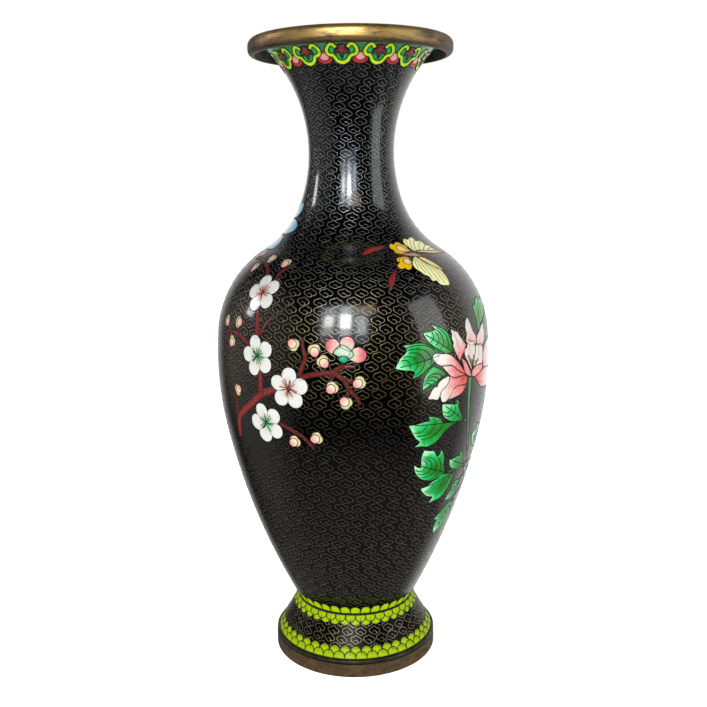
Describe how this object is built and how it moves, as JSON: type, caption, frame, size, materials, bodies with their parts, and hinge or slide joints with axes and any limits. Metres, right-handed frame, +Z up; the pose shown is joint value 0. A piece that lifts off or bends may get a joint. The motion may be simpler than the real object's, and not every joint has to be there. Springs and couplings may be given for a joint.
{
  "type": "cloisonne vase",
  "caption": "Tall cloisonne vase with a trumpet neck, round belly and flared foot, copper body inlaid with black enamel, blossoms, leaves and a butterfly.",
  "frame": {"origin": "centre of the circle that the foot ring stands on", "axes": "+Z up the axis of the vase, -Y towards the decorated front"},
  "size_m": [0.1353, 0.1354, 0.305],
  "materials": {
    "rim_brass": "worn and tarnished",
    "foot_bronze": "brown patina",
    "copper": "dull, oxidised",
    "wire_bronze": "polished flush",
    "black_enamel": "glossy",
    "collar_green": "glossy",
    "head_lime": "glossy",
    "cup_green": "glossy",
    "maroon_enamel": "glossy",
    "pink_enamel": "glossy",
    "red_enamel": "glossy",
    "scale_lime": "glossy",
    "lining_blue": "glossy",
    "branch_red": "glossy",
    "petal_white": "glossy",
    "bud_cream": "glossy",
    "wing_gold": "glossy",
    "wing_pale": "glossy",
    "insect_brown": "glossy",
    "peony_pink": "glossy",
    "leaf_green": "glossy",
    "stem_green": "glossy",
    "blue_enamel": "glossy"
  },
  "bodies": {
    "root": {"mouth_ring": "rim_brass", "neck_shell": "copper", "upper_belly_shell": "copper", "lower_belly_shell": "copper", "foot_shell": "copper", "base_plate": "copper", "foot_ring": "foot_bronze", "waist_wire": "wire_bronze", "body_ground": "black_enamel", "foot_ground": "black_enamel", "collar_ground": "collar_green", "inner_lining": "lining_blue", "base_enamel": "lining_blue", "waist_scales_upper": "scale_lime", "waist_scales_inner": "scale_lime", "waist_scales_lower": "scale_lime", "foot_scales_lower": "scale_lime", "foot_scales_upper": "scale_lime", "collar_florets": "maroon_enamel", "collar_cups": "cup_green", "collar_heads": "head_lime", "collar_lappets": "pink_enamel", "collar_crescents": "red_enamel", "plum_blossoms": "petal_white", "plum_buds": "bud_cream", "plum_branch": "branch_red", "butterfly_forewings": "wing_gold", "butterfly_hindwings": "wing_pale", "butterfly_body": "insect_brown", "peony_petals": "peony_pink", "peony_heart": "maroon_enamel", "peony_leaves": "leaf_green", "peony_stem": "stem_green", "blue_petals": "blue_enamel"}
  },
  "joints": []
}
